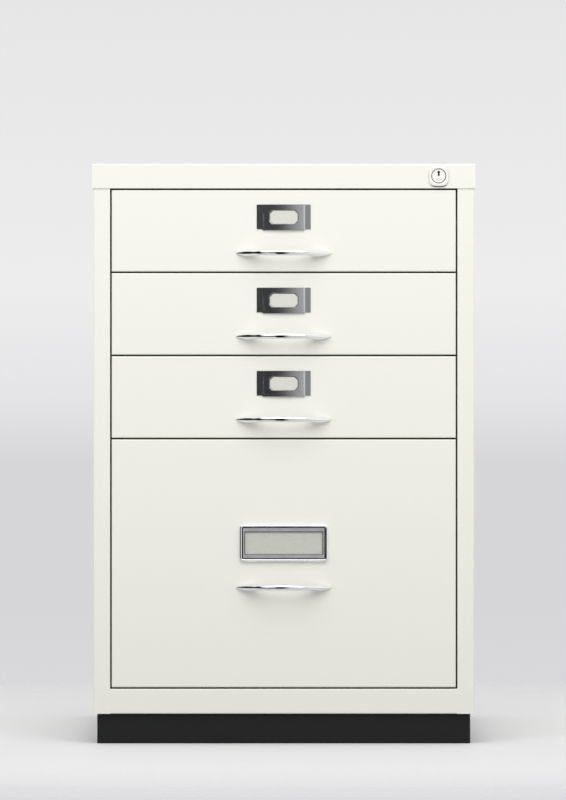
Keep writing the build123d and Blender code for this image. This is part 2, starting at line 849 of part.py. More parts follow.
# Framed label: a chrome frame with a raised rim, a clear window and the card behind it
def label_frame(level):
    well_width = frame_window_width + 2 * frame_side_border
    well_height = frame_window_height + 2 * frame_top_border
    outline = RectangleRounded(
        well_width + 2 * frame_rim_width, well_height + 2 * frame_rim_width, frame_corner
    )
    rim = extrude(outline, frame_rim_height)
    rim = chamfer(rim.faces().sort_by(Axis.Z)[-1].edges(), frame_rim_bevel)
    well = RectangleRounded(well_width, well_height, frame_corner - frame_rim_width)
    rim -= extrude(well, frame_rim_height)
    plate = extrude(well - Rectangle(frame_window_width, frame_window_height), frame_plate)
    window_edges = plate.faces().sort_by(Axis.Z)[-1].inner_wires().edges()
    plate = chamfer(window_edges, frame_window_bevel, frame_window_bevel / 2)
    pocket = Rectangle(
        frame_window_width + 2 * frame_pocket_margin, frame_window_height + 2 * frame_pocket_margin
    )
    frame = rim + plate - extrude(pocket, file_card_thickness + window_thickness)
    return Pos(0, front_y, level) * Rot(90, 0, 0) * frame


def frame_filling(thickness, start, level):
    """A sheet that fills the pocket behind the frame's window."""
    sheet = Rectangle(
        frame_window_width + 2 * frame_pocket_margin - card_play,
        frame_window_height + 2 * frame_pocket_margin - card_play,
    )
    return along_y(Pos(0, level) * sheet, front_y - start - thickness, front_y - start)


frame_level = file_middle + frame_rise
nodes["file_label_frame"] = label_frame(frame_level)
nodes["file_label_card"] = frame_filling(file_card_thickness, 0, frame_level)
nodes["file_label_window"] = frame_filling(window_thickness, file_card_thickness, frame_level)


# Hanging file rails: angles on the hems, with a blade that the hooks of the files run on
def file_rail():
    foot = file_tray_bottom + file_tray_height
    inner = tray_x - tray_hem
    line = [
        (tray_x, foot),
        (inner, foot),
        (inner, foot + rail_blade_height),
    ]
    return along_y(folded(line, rail_sheet, Side.RIGHT), tray_front, tray_back)


nodes["file_rails"] = pair(file_rail())


# Ball slides of the filing drawer: an outer channel on the uprights, a middle channel that
# moves half as far as the drawer, and an inner channel on the tray. The edges of the two
# larger channels curl round the rows of balls.
def curled_channel(web_u, ball_u, ball_z):
    reach = ball_radius + race_clearance + runner_sheet
    edge = ball_z + reach
    curl_down = CenterArc((ball_u, -ball_z), reach, 270 - curl_angle, curl_angle)
    sides = Polyline((ball_u, -edge), (web_u, -edge), (web_u, edge), (ball_u, edge))
    curl_up = CenterArc((ball_u, ball_z), reach, 90, curl_angle)
    return thickened(Wire(curl_down.edges() + sides.edges() + curl_up.edges()), runner_sheet)


def slide_member(section):
    """A slide's section, drawn about its middle, as a solid along the tray's side."""
    level = file_tray_bottom + slide_rise
    return along_y(Pos(tray_x, level) * section, runner_front, runner_back)


outer_channel = slide_member(curled_channel(runner_space, outer_ball_u, outer_ball_z))
for y in hook_ys:
    outer_channel += hook(file_tray_bottom + slide_hook_level, y)
nodes["file_cabinet_runners"] = pair(outer_channel)
nodes["file_intermediate_runners"] = pair(
    slide_member(curled_channel(middle_web_u, inner_ball_u, inner_ball_z))
)
inner_line = [
    (inner_flange_width, -inner_flange_z),
    (0, -inner_flange_z),
    (0, inner_flange_z),
    (inner_flange_width, inner_flange_z),
]
inner_section = folded(inner_line, runner_sheet, Side.RIGHT)
nodes["file_runners"] = pair(slide_member(inner_section)) + lock_stud(lowest_stud)


def ball_cage(web_u, reach_u, ball_z):
    """Bent strip that spaces the balls, half the slide long. It starts where it stays
    between both members when the drawer is open."""
    edge = ball_z + cage_sheet / 2
    line = [(reach_u, -edge), (web_u, -edge), (web_u, edge), (reach_u, edge)]
    section = Pos(tray_x, file_tray_bottom + slide_rise) * folded(line, cage_sheet)
    start = runner_front + cage_margin + file_travel / 4
    return along_y(section, start, start + cage_length)


nodes["file_outer_cages"] = pair(ball_cage(outer_cage_web_u, outer_cage_reach, outer_ball_z))
nodes["file_inner_cages"] = pair(ball_cage(inner_cage_web_u, inner_cage_reach, inner_ball_z))

for name, shape in nodes.items():
    export_step(shape, f"parts/{name}.step")

print("overall height", overall_height, "lock bar lift", round(bar_lift, 3))
print("lift per radian", round(bar_lift / radians(cam_swing), 4))
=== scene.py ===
from math import copysign, cos, pi, radians, sin, sqrt

import bmesh
import bpy
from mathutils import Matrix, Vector


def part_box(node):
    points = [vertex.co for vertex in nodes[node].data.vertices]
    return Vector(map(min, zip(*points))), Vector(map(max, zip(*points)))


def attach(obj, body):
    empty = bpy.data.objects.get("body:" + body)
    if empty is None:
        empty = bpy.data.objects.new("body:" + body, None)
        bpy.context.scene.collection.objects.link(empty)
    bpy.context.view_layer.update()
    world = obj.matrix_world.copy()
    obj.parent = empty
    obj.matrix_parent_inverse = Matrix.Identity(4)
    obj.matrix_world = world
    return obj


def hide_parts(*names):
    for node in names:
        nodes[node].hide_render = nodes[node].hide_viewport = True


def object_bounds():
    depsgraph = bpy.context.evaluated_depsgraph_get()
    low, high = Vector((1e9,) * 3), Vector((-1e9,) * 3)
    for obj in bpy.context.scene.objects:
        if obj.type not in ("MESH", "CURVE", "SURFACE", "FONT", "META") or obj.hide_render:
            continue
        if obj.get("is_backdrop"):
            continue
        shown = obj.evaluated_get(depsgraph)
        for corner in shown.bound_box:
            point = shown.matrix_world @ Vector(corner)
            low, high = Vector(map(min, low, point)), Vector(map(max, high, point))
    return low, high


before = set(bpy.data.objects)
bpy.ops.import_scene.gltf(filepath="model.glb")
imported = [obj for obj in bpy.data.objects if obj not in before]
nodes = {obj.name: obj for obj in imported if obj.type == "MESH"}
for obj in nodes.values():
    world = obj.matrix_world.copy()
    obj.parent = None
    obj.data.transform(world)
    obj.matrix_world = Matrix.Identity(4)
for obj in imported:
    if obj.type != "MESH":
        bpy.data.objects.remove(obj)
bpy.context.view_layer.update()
mm = 0.001


# Carcass: the two side panels, the base pan with the rail under the drawers, the back and the
# cap. They are folded from 1 mm steel sheet, spot-welded, and powder coated white in one go.
# Powder coat melts and flows, so it is a smooth half-gloss film with a faint orange peel.
coat_white = "#F3F3E9"
coat_gloss = 0.36
coat_drift = (-0.03, 0.05)
drift_width = 1000 / 6 * mm
peel_width = 3 * mm
peel_depth = 0.01 * mm
peel_strength = 0.6


def linear(colour):
    """Linear colour of an sRGB hex value."""
    channels = [int(colour[i:i + 2], 16) / 255 for i in (1, 3, 5)]
    return (*[c / 12.92 if c <= 0.04045 else ((c + 0.055) / 1.055) ** 2.4 for c in channels], 1)


def add(tree, kind, inputs=(), **settings):
    """Adds a node, sets its properties and its inputs, and links each input given as a socket."""
    made = tree.nodes.new(kind)
    for name, value in settings.items():
        setattr(made, name, value)
    for name, value in dict(inputs).items():
        if isinstance(value, bpy.types.NodeSocket):
            tree.links.new(value, made.inputs[name])
        else:
            made.inputs[name].default_value = value
    return made


def surface(name, **inputs):
    """A new material, its node tree and its surface shader with the given inputs."""
    material = bpy.data.materials.new(name)
    material.use_nodes = True
    shader = material.node_tree.nodes["Principled BSDF"]
    for key, value in inputs.items():
        shader.inputs[key.replace("_", " ")].default_value = value
    return material, material.node_tree, shader


def powder_coat(name, colour, gloss, shine=0.5):
    """Powder coat: flat colour, a film whose gloss drifts a little, and orange peel. The real
    peel is finer than a pixel of the picture, so it only softens the reflections there."""
    material, tree, shader = surface(
        name, Base_Color=linear(colour), Roughness=gloss, IOR=1.5, Specular_IOR_Level=shine
    )
    place = add(tree, "ShaderNodeTexCoord").outputs["Object"]
    peel, drift = [
        add(tree, "ShaderNodeTexNoise", {"Vector": place, "Scale": 1 / width, "Detail": detail})
        for width, detail in ((peel_width, 2.0), (drift_width, 3.0))
    ]
    least, most = [gloss + change for change in coat_drift]
    spread = add(
        tree, "ShaderNodeMapRange",
        {"Value": drift.outputs["Fac"], "To Min": least, "To Max": most},
    )
    bump = add(
        tree, "ShaderNodeBump",
        {"Height": peel.outputs["Fac"], "Strength": peel_strength, "Distance": peel_depth},
    )
    tree.links.new(spread.outputs["Result"], shader.inputs["Roughness"])
    tree.links.new(bump.outputs["Normal"], shader.inputs["Normal"])
    return material


def finish_nodes(names, material):
    """Gives carried-over nodes their material."""
    for name in names:
        for place in nodes[name].material_slots:
            place.material = material


white_coat = powder_coat("white_powder_coat", coat_white, coat_gloss)
carcass = ["side_panel_left", "side_panel_right", "base_pan", "back_panel", "top_cap"]
finish_nodes(carcass, white_coat)


# Plinth: a ring folded from 1.2 mm steel with a flange at its top and bottom, powder coated
# satin black. The coat is matter than the white one and shows the same fine peel.
coat_black = "#131414"
satin_gloss = 0.5
satin_shine = 0.3
black_coat = powder_coat("black_powder_coat", coat_black, satin_gloss, satin_shine)
finish_nodes(["plinth"], black_coat)


# Drawer fronts: pans folded from 1 mm steel with the tray's front wall as their inner skin. The
# trays have hemmed sides. Fronts, trays and file rails are coated with the carcass.
drawers = [1, 2, 3]
fronts = [f"drawer_{n}_front" for n in drawers] + ["file_front"]
trays = [f"drawer_{n}_tray" for n in drawers] + ["file_tray", "file_rails"]
finish_nodes(fronts + trays, white_coat)


# Runner uprights: hat sections folded from galvanised strip, spot-welded inside the side panels.
# Hot-dip zinc sets in flat crystals, so grey and gloss change a little from one to the next.
zinc_grey = "#B4B8BC"
zinc_dark = "#9DA2A7"
zinc_gloss = (0.3, 0.46)
crystal = 9 * mm

galvanised, tree, shader = surface("galvanised_strip", Metallic=1.0)
place = add(tree, "ShaderNodeTexCoord").outputs["Object"]
cells = add(tree, "ShaderNodeTexVoronoi", {"Vector": place, "Scale": 1 / crystal})
grain = add(tree, "ShaderNodeSeparateColor", {"Color": cells.outputs["Color"]}).outputs
tone = add(
    tree, "ShaderNodeMix",
    {"Factor": grain["Red"], "A": linear(zinc_grey), "B": linear(zinc_dark)},
    data_type="RGBA",
)
gloss = add(
    tree, "ShaderNodeMapRange",
    {"Value": grain["Green"], "To Min": zinc_gloss[0], "To Max": zinc_gloss[1]},
)
tree.links.new(tone.outputs["Result"], shader.inputs["Base Color"])
tree.links.new(gloss.outputs["Result"], shader.inputs["Roughness"])
finish_nodes(["runner_uprights"], galvanised)


# Runners: the roller runners of the stationery drawers and the ball slides of the filing
# drawer, rolled from steel strip and zinc plated bright. The plating is a thin even silver
# with a blue cast, drawn out along the strip by the rolling.
plate_silver = "#C3C7CC"
plate_gloss = (0.22, 0.42)
rolling_width = 0.8 * mm
rolling_stretch = (1, 0.02, 1)


def streaked_metal(name, colour, gloss, width, stretch=(1, 1, 1), metallic=1.0):
    """Bright metal whose gloss wanders within a span, in streaks of a width and a stretch. The
    lines of rolling are drawn coarser than real ones so that they can be seen."""
    material, tree, shader = surface(name, Base_Color=linear(colour), Metallic=metallic)
    place = add(tree, "ShaderNodeTexCoord").outputs["Object"]
    drawn = add(tree, "ShaderNodeMapping", {"Vector": place, "Scale": stretch}).outputs["Vector"]
    streaks = add(
        tree, "ShaderNodeTexNoise", {"Vector": drawn, "Scale": 1 / width, "Detail": 2.0}
    )
    spread = add(
        tree, "ShaderNodeMapRange",
        {"Value": streaks.outputs["Fac"], "To Min": gloss[0], "To Max": gloss[1]},
    )
    tree.links.new(spread.outputs["Result"], shader.inputs["Roughness"])
    return material


bright_zinc = streaked_metal(
    "zinc_plated_strip", plate_silver, plate_gloss, rolling_width, rolling_stretch
)
runners = [f"drawer_{n}_{part}" for n in drawers for part in ("cabinet_runners", "runners")]
runners += ["file_cabinet_runners", "file_intermediate_runners", "file_runners"]
finish_nodes(runners + ["file_outer_cages", "file_inner_cages"], bright_zinc)


# Rollers and the lock bar's guides: moulded in natural nylon, a milky, slightly see-into
# plastic with a soft gloss.
nylon_milk = "#E4E1D6"
nylon_grain = 1.5 * mm
nylon_scatter = 1.5 * mm


def grained(name, colour, roughness, grain, strength, depth, **inputs):
    """Plastic, rubber or enamel: even colour and gloss, and a grain in the surface that is drawn
    coarser than a real one so that it can be seen."""
    material, tree, shader = surface(
        name, Base_Color=linear(colour), Roughness=roughness, **inputs
    )
    place = add(tree, "ShaderNodeTexCoord").outputs["Object"]
    relief = add(tree, "ShaderNodeTexNoise", {"Vector": place, "Scale": 1 / grain, "Detail": 2.0})
    bump = add(
        tree, "ShaderNodeBump",
        {"Height": relief.outputs["Fac"], "Strength": strength, "Distance": depth},
    )
    tree.links.new(bump.outputs["Normal"], shader.inputs["Normal"])
    return material


nylon = grained(
    "natural_nylon", nylon_milk, roughness=0.42, grain=nylon_grain, strength=0.3, depth=0.01 * mm,
    IOR=1.53, Subsurface_Weight=0.25, Subsurface_Scale=nylon_scatter,
)
rollers = [f"drawer_{n}_{part}" for n in drawers for part in ("cabinet_rollers", "rollers")]
finish_nodes(rollers + ["lock_bar_guides"], nylon)


# Balls of the filing drawer's slides: 3 mm steel balls polished to small mirrors, two rows in
# each of the four cages, held in pockets of the cage strip. For each kind of cage, the rows are
# given by how far they lie in from its outer side, and how far above and below its middle.
ball_steel = "#D2D3D4"
ball_radius = 1.5 * mm
ball_pitch = 13 * mm
ball_rows = {"outer": (3.1 * mm, 19.7 * mm), "inner": (2.2 * mm, 15.3 * mm)}


def mesh_piece(name, shape, material, smooth=True):
    """An object of a finished bmesh."""
    mesh = bpy.data.meshes.new(name)
    bmesh.ops.recalc_face_normals(shape, faces=shape.faces)
    shape.to_mesh(mesh)
    shape.free()
    for face in mesh.polygons:
        face.use_smooth = smooth
    mesh.materials.append(material)
    made = bpy.data.objects.new(name, mesh)
    bpy.context.scene.collection.objects.link(made)
    return made


polished_steel = surface(
    "polished_ball_steel", Base_Color=linear(ball_steel), Metallic=1.0, Roughness=0.08
)[0]
for name, (row_inset, row_height) in ball_rows.items():
    low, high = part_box(f"file_{name}_cages")
    middle_z = (low.z + high.z) / 2
    row_x = high.x - row_inset
    shape = bmesh.new()
    count = int((high.y - low.y) / ball_pitch)
    first_y = (low.y + high.y) / 2 - (count - 1) * ball_pitch / 2
    for side in (-1, 1):
        for level in (-row_height, row_height):
            for i in range(count):
                centre = Vector((side * row_x, first_y + i * ball_pitch, middle_z + level))
                made = bmesh.ops.create_icosphere(shape, subdivisions=2, radius=ball_radius)
                bmesh.ops.translate(shape, verts=made["verts"], vec=centre)
    balls = mesh_piece(f"file_{name}_balls", shape, polished_steel)
    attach(balls, f"file_{name}_cages")


# Screws: M4 pan heads with a cross recess that hold the handles from inside the drawers, and
# wider ones that hold the plinth under the floor. Cold-headed steel, zinc plated. A head is given
# by its radius and height, and its recess by shares of these.
head_points = 32
head_turns = [2 * pi * i / head_points for i in range(head_points)]
cross_arm = 0.28
cross_reach = 0.55
cross_depth = 0.55
shank_point = 0.5 * mm
handle_pitch = 96 * mm
handle_head = (3.8 * mm, 2.6 * mm)
handle_shank = 1.95 * mm
plinth_head = (4.5 * mm, 3.2 * mm)
plinth_shank = 2.35 * mm
drawer_bodies = {f"drawer_{n}": f"drawer_{n}" for n in drawers} | {"file": "file_drawer"}


def skin(shape, rings, closed=True):
    """Joins closed rings of points with quads, and may close the first and the last of them."""
    loops = [[shape.verts.new(point) for point in ring] for ring in rings]
    for near, far in zip(loops, loops[1:]):
        for i in range(len(near)):
            j = (i + 1) % len(near)
            shape.faces.new((near[i], near[j], far[j], far[i]))
    if closed:
        shape.faces.new(loops[0])
        shape.faces.new(loops[-1])


def turned(shape, centre, axis, profile):
    """Skins rings about an axis, from pairs of a radius for each turn and a height along it."""
    axis = Vector(axis)
    side = axis.orthogonal().normalized()
    other = axis.cross(side)
    skin(shape, [
        [
            centre + axis * level + (side * cos(t) + other * sin(t)) * radius
            for t, radius in zip(head_turns, radii)
        ]
        for radii, level in profile
    ])


def cross(turn):
    """How far a cross recess reaches, as a share of the head's radius, at an angle."""
    across, up = abs(cos(turn)), abs(sin(turn))
    arms = [
        min(length / max(across, 1e-6), width / max(up, 1e-6))
        for length, width in ((cross_reach, cross_arm / 2), (cross_arm / 2, cross_reach))
    ]
    return max(arms)


def pan_head(shape, centre, axis, radius, height):
    """Domed head with a cross recess. It stands at centre and points along the axis."""
    recess = [
        ([0.5 * cross(t) for t in head_turns], 1 - cross_depth),
        ([cross(t) for t in head_turns], 0.93),
        ([max(1.08 * cross(t), 0.62) for t in head_turns], 0.95),
    ]
    dome = [
        ([share] * head_points, level)
        for share, level in ((0.82, 0.8), (0.95, 0.5), (1.0, 0.2), (1.0, 0.0))
    ]
    turned(shape, centre, axis, [
        ([radius * share for share in shares], height * level) for shares, level in recess + dome
    ])


def shank(shape, centre, axis, radius, length):
    """Round shank from centre, without the thread that its hole hides."""
    steps = [(radius, 0), (radius, length - shank_point), (radius - shank_point, length)]
    turned(shape, centre, axis, [([size] * head_points, level) for size, level in steps])


for name, body in drawer_bodies.items():
    low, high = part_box(f"{name}_handle_screws")
    seat = high.y - handle_head[1]
    shape = bmesh.new()
    for x in (-handle_pitch / 2, handle_pitch / 2):
        centre = Vector((x, seat, (low.z + high.z) / 2))
        pan_head(shape, centre, (0, 1, 0), *handle_head)
        shank(shape, centre, (0, -1, 0), handle_shank, seat - low.y)
    screws = mesh_piece(f"{name}_handle_pan_screws", shape, bright_zinc, smooth=False)
    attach(screws, body)
    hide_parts(f"{name}_handle_screws")

low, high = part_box("plinth_screws")
seat = high.z - plinth_head[1]
shape = bmesh.new()
for x in (low.x + plinth_head[0], high.x - plinth_head[0]):
    for y in (low.y + plinth_head[0], high.y - plinth_head[0]):
        centre = Vector((x, y, seat))
        pan_head(shape, centre, (0, 0, 1), *plinth_head)
        shank(shape, centre, (0, 0, -1), plinth_shank, seat - low.z)
screws = mesh_piece("plinth_pan_screws", shape, bright_zinc, smooth=False)
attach(screws, "cabinet")
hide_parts("plinth_screws")


# Handles: slim bows die-cast in zinc, polished and chromium plated. The bow is an arc seen
# from above; its leaf-shaped feet lie on the face and taper to a ridge and a pointed tip. The
# powers say how round a section is: 1 is an ellipse, less is fuller and more is leaner.
chrome_silver = "#F1F2F4"
chrome_roughness = 0.05
chrome_streak = 20 * mm
bow_end = 58 * mm
foot_start = 38 * mm
tip_rise = 1.6 * mm
bow_height = 25 * mm
bow_inside = 20 * mm
tip_half = 0.9 * mm
leaf_half = 5.0 * mm
leaf_widest = 41 * mm
leaf_taper = 1.7
leaf_start = 0.8 * foot_start
leaf_length = 0.25 * foot_start
leaf_edge = 0.7 * mm
grip_start = 33 * mm
grip_half = 3.25 * mm
front_power = {"grip": 0.62, "leaf": 1.02}
back_power = {"grip": 0.9, "leaf": 0.35}
side_power = 0.92
bow_sections = 72
section_points = 32


def polished(name, colour, roughness, streak):
    """Polished metal: a mirror whose sharpness wanders a little where the mop has passed."""
    return streaked_metal(name, colour, (0.7 * roughness, 1.4 * roughness), streak)


def arc_height(x, end, rise, top):
    """Height at x of an arc through (-end, rise), (0, top) and (end, rise)."""
    sag = top - rise
    radius = (end * end + sag * sag) / (2 * sag)
    return top - radius + sqrt(radius * radius - x * x)


def ease(share):
    """Smooth step from 0 to 1."""
    share = min(max(share, 0.0), 1.0)
    return share * share * (3 - 2 * share)


def bow_half_height(x):
    """Half the bow's height at a distance x from its middle."""
    if x <= leaf_widest:
        share = ease((x - grip_start) / (leaf_widest - grip_start))
        return grip_half + (leaf_half - grip_half) * share
    share = (x - leaf_widest) / (bow_end - leaf_widest)
    return tip_half + (leaf_half - tip_half) * (1 - share ** leaf_taper)


def bow_section(x, face_y, level):
    """Ring of points round the bow at x: an oval grip that turns into a ridged leaf."""
    away = abs(x)
    half = bow_half_height(away)
    front = arc_height(x, bow_end, tip_rise, bow_height)
    back = arc_height(x, foot_start, 0, bow_inside) if away < foot_start else 0.0
    leaf = ease((away - leaf_start) / leaf_length)
    middle = (front + back) / 2
    edge = (1 - leaf) * middle + leaf * min(back + leaf_edge, middle)
    front_curve, back_curve = [
        (1 - leaf) * power["grip"] + leaf * power["leaf"] for power in (front_power, back_power)
    ]
    ring = []
    for i in range(section_points):
        turn = 2 * pi * i / section_points
        across, up = cos(turn), sin(turn)
        if across >= 0:
            depth = edge + (front - edge) * across ** front_curve
        else:
            depth = edge - (edge - back) * (-across) ** back_curve
        rise = half * copysign(abs(up) ** side_power, up)
        ring.append(Vector((x, face_y - depth, level + rise)))
    return ring


chrome = polished("chromium_plate", chrome_silver, chrome_roughness, chrome_streak)
stations = [bow_end * sin(pi / 2 * (2 * i / bow_sections - 1)) for i in range(bow_sections + 1)]
for name, body in drawer_bodies.items():
    low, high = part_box(f"{name}_handle")
    shape = bmesh.new()
    skin(shape, [bow_section(x, high.y, (low.z + high.z) / 2) for x in stations])
    handle = mesh_piece(f"{name}_bow_handle", shape, chrome)
    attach(handle, body)
    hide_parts(f"{name}_handle")


# Label holders of the stationery drawers: pressed from bright steel strip, with a raised middle
# that the card slips into and a sheared window with cut corners. The pressing leaves the strip a
# little arched from side to side. Two spot welds under the flanges hold it to the front. The
# window's turned-in edge is dark grey and wider at the top and left: a painted shadow of the
# strip on the card.
strip_silver = "#D3D5D8"
strip_gloss = (0.14, 0.25)
hairline = 0.5 * mm
hairline_stretch = (0.03, 1, 1)
# Dark grey of the window's turned-in edge: painted shadow.
shadow_edge_grey = "#4E4D4A"
shadow_edge_gloss = (0.45, 0.7)
shadow_edge_streak = 0.4 * mm
holder_half = 33.15 * mm
holder_middle = 24.5 * mm
holder_ramp = 1.1 * mm
holder_up = 15.2 * mm
holder_lip = 1.2 * mm
holder_sheet = 0.8 * mm
holder_bevel = 0.12 * mm
flange_rise = 0.8 * mm
flange_arch = 0.35 * mm
middle_rise = 3.0 * mm
middle_arch = 1.15 * mm
window_half = 17.5 * mm
window_up = 8.8 * mm
window_low = 0.2 * mm
window_cut = 4.0 * mm
# Sink, width and top-left shift of the dark turned-in edge, which draws the painted shadow.
shadow_edge_sink = 0.7 * mm
shadow_edge_width = 0.6 * mm
shadow_edge_shift = (0.2 * mm, -0.3 * mm)
middle_shares = (0, 0.25, 0.5, 0.75, 0.93, 1.0)
side_steps = 12
ramp_steps = 4
flange_steps = 6
weld_reach = 0.01 * mm


def between(first, second, share):
    """Point at a share of the way from one point to another."""
    return tuple(a + (b - a) * share for a, b in zip(first, second))


def frame_ring(half, up, corner, steps):
    """Ring of points round a rectangle with cut or round corners, as pairs of X and Z."""
    corners = []
    for quarter, (side, rise) in enumerate(((1, 1), (-1, 1), (-1, -1), (1, -1))):
        turns = [pi / 2 * (quarter + i / steps) for i in range(steps + 1)]
        corners.append([
            (side * (half - corner) + corner * cos(t), rise * (up - corner) + corner * sin(t))
            for t in turns
        ])
    ring = []
    for near, far in zip(corners, corners[1:] + corners[:1]):
        ring += near
        ring += [between(near[-1], far[0], i / side_steps) for i in range(1, side_steps)]
    return ring


def weld(shape):
    """Joins the points of a shape that lie on one another."""
    bmesh.ops.remove_doubles(shape, verts=shape.verts, dist=weld_reach)


def soften(piece, width, degrees):
    """Bevels the edges of a piece that turn by more than an angle."""
    bevel = piece.modifiers.new("ease", "BEVEL")
    bevel.width = width
    bevel.segments = 2
    bevel.limit_method = "ANGLE"
    bevel.angle_limit = radians(degrees)


def holder_depth(x):
    """How far the holder's front stands off the drawer at x."""
    away = abs(x)
    if away <= holder_middle:
        return middle_rise - middle_arch * (x / holder_middle) ** 2
    if away <= holder_middle + holder_ramp:
        share = (away - holder_middle) / holder_ramp
        foot = flange_rise + flange_arch
        return (middle_rise - middle_arch) * (1 - share) + foot * share
    share = (holder_half - away) / (holder_half - holder_middle - holder_ramp)
    return flange_rise + flange_arch * share


def label_holder(shape, face_y, level):
    """The holder's front face; its thickness is added behind it."""

    def point(x, z, sink=0.0):
        return Vector((x, face_y - holder_depth(x) + sink, level + z))

    outer = [
        (x, z - holder_lip / 2)
        for x, z in frame_ring(holder_middle, holder_up + holder_lip / 2, 0, 1)
    ]
    window = [(x, z - window_low) for x, z in frame_ring(window_half, window_up, window_cut, 1)]
    # The dark turned-in ring, shifted to the top and left, is painted shadow on the card.
    shadow_edge_ring = [
        (x + shadow_edge_shift[0], z - window_low + shadow_edge_shift[1])
        for x, z in frame_ring(window_half - shadow_edge_width, window_up - shadow_edge_width, window_cut, 1)
    ]
    rings = [
        [point(*between(a, b, share)) for a, b in zip(outer, window)] for share in middle_shares
    ]
    rings.append([point(x, z, shadow_edge_sink) for x, z in shadow_edge_ring])
    skin(shape, rings, closed=False)
    shape.faces.ensure_lookup_table()
    for face in shape.faces[-len(window):]:
        face.material_index = 1
    for side in (-1, 1):
        stations = [holder_middle + i * holder_ramp / ramp_steps for i in range(ramp_steps + 1)]
        flange = (holder_half - stations[-1]) / flange_steps
        stations += [stations[-1] + i * flange for i in range(1, flange_steps + 1)]
        rows = [
            [
                shape.verts.new(point(side * x, z))
                for z in (holder_up, -holder_up - (holder_lip if i <= ramp_steps else 0))
            ]
            for i, x in enumerate(stations)
        ]
        for near, far in zip(rows, rows[1:]):
            shape.faces.new((near[0], near[1], far[1], far[0]))
    weld(shape)


# Rolled strip is a soft mirror with hairlines along it. The window's turned-in edge is a dull
# dark grey, as a painted shadow on the card.
strip = streaked_metal(
    "bright_rolled_strip", strip_silver, strip_gloss, hairline, hairline_stretch
)
shadow_edge_metal = streaked_metal(
    "painted_shadow_edge", shadow_edge_grey, shadow_edge_gloss, shadow_edge_streak, metallic=0.7
)
for n in drawers:
    low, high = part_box(f"drawer_{n}_label_holder")
    shape = bmesh.new()
    label_holder(shape, high.y, high.z - holder_up)
    holder = mesh_piece(f"drawer_{n}_pressed_holder", shape, strip)
    holder.data.materials.append(shadow_edge_metal)
    thickness = holder.modifiers.new("sheet", "SOLIDIFY")
    thickness.thickness = holder_sheet
    thickness.offset = -1
    soften(holder, holder_bevel, degrees=50)
    holder.modifiers.new("shade", "WEIGHTED_NORMAL")
    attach(holder, f"drawer_{n}")
    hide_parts(f"drawer_{n}_label_holder")


# Label cards: plain uncoated card, cut to slip behind the windows. The fibres are drawn
# coarser than real ones so that the card's grain can be seen. Both cards' grounds are darkened
# as painted shade of the holders and the window over them, the filing card's the most.
# Card grounds darkened as painted shade: under the holders, and darker under the window.
shaded_card_ground = "#C9C9BE"
filing_card_shade_grey = "#B4B4AC"
card_fibre = "#E9E9DF"
fibre_width = 0.6 * mm
fibre_stretch = (0.35, 1, 1)
fibre_depth = 0.03 * mm


def plain_card(name, colour):
    """Card: pale fibres in a darker ground, felted into a slightly rough sheet."""
    material, tree, shader = surface(name, Roughness=0.85, IOR=1.45)
    place = add(tree, "ShaderNodeTexCoord").outputs["Object"]
    drawn = add(tree, "ShaderNodeMapping", {"Vector": place, "Scale": fibre_stretch})
    fibres = add(
        tree, "ShaderNodeTexNoise",
        {"Vector": drawn.outputs["Vector"], "Scale": 1 / fibre_width, "Detail": 4.0},
    ).outputs["Fac"]
    tone = add(
        tree, "ShaderNodeMix",
        {"Factor": fibres, "A": linear(colour), "B": linear(card_fibre)}, data_type="RGBA",
    )
    bump = add(
        tree, "ShaderNodeBump", {"Height": fibres, "Strength": 0.4, "Distance": fibre_depth}
    )
    tree.links.new(tone.outputs["Result"], shader.inputs["Base Color"])
    tree.links.new(bump.outputs["Normal"], shader.inputs["Normal"])
    return material


# The cards' colours carry painted shade of the holders and of the filing drawer's window.
finish_nodes([f"drawer_{n}_label_card" for n in drawers], plain_card("plain_card", shaded_card_ground))
finish_nodes(["file_label_card"], plain_card("filing_card_in_shade", filing_card_shade_grey))


# Label frame of the filing drawer: a die-cast bead with a flat inner border round a clear
# styrene window. It is chromium plated like the handles, and the border is left satin. The
# groove between bead and border and the lip round the window are filled with a glossy black:
# painted shade in the groove and at the window's edge.
frame_half = 54 * mm
frame_up = 22.5 * mm
frame_corner = 5 * mm
frame_back = 2 * mm
frame_bevel = 0.15 * mm
bead_width = 2.7 * mm
bead_height = 4.4 * mm
bead_steps = 8
groove_end = bead_width + 1.3 * mm
groove_height = 1.6 * mm
border_height = 2.6 * mm
border_film = 0.05 * mm
opening_half = 47.5 * mm
opening_up = 13.5 * mm
lip_width = 0.7 * mm
lip_height = border_height - 0.5 * mm
least_corner = 0.6 * mm
corner_steps = 8
window_depth = 1.3 * mm
satin_silver = "#D2D2D4"
satin_roughness = 0.42
satin_streak = 10 * mm
# Glossy black of the groove and of the window's lip: painted shade.
shade_fill_black = "#121212"
shade_fill_film = 0.15 * mm
shade_fill_flow = 2 * mm
window_clear = "#F0F2F0"

low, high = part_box("file_label_frame")
face_y, level = high.y, (low.z + high.z) / 2


def inset_ring(inset, height):
    """Ring of points that lies inset from the frame's outline, at a height off the face."""
    corner = max(frame_corner - inset, least_corner)
    ring = frame_ring(frame_half - inset, frame_up - inset, corner, corner_steps)
    return [Vector((x, face_y - height, level + z)) for x, z in ring]


def opening_ring(outset, height):
    """Ring of points that lies outset from the window's opening, at a height off the face."""
    ring = frame_ring(opening_half + outset, opening_up + outset, least_corner, corner_steps)
    return [Vector((x, face_y - height, level + z)) for x, z in ring]


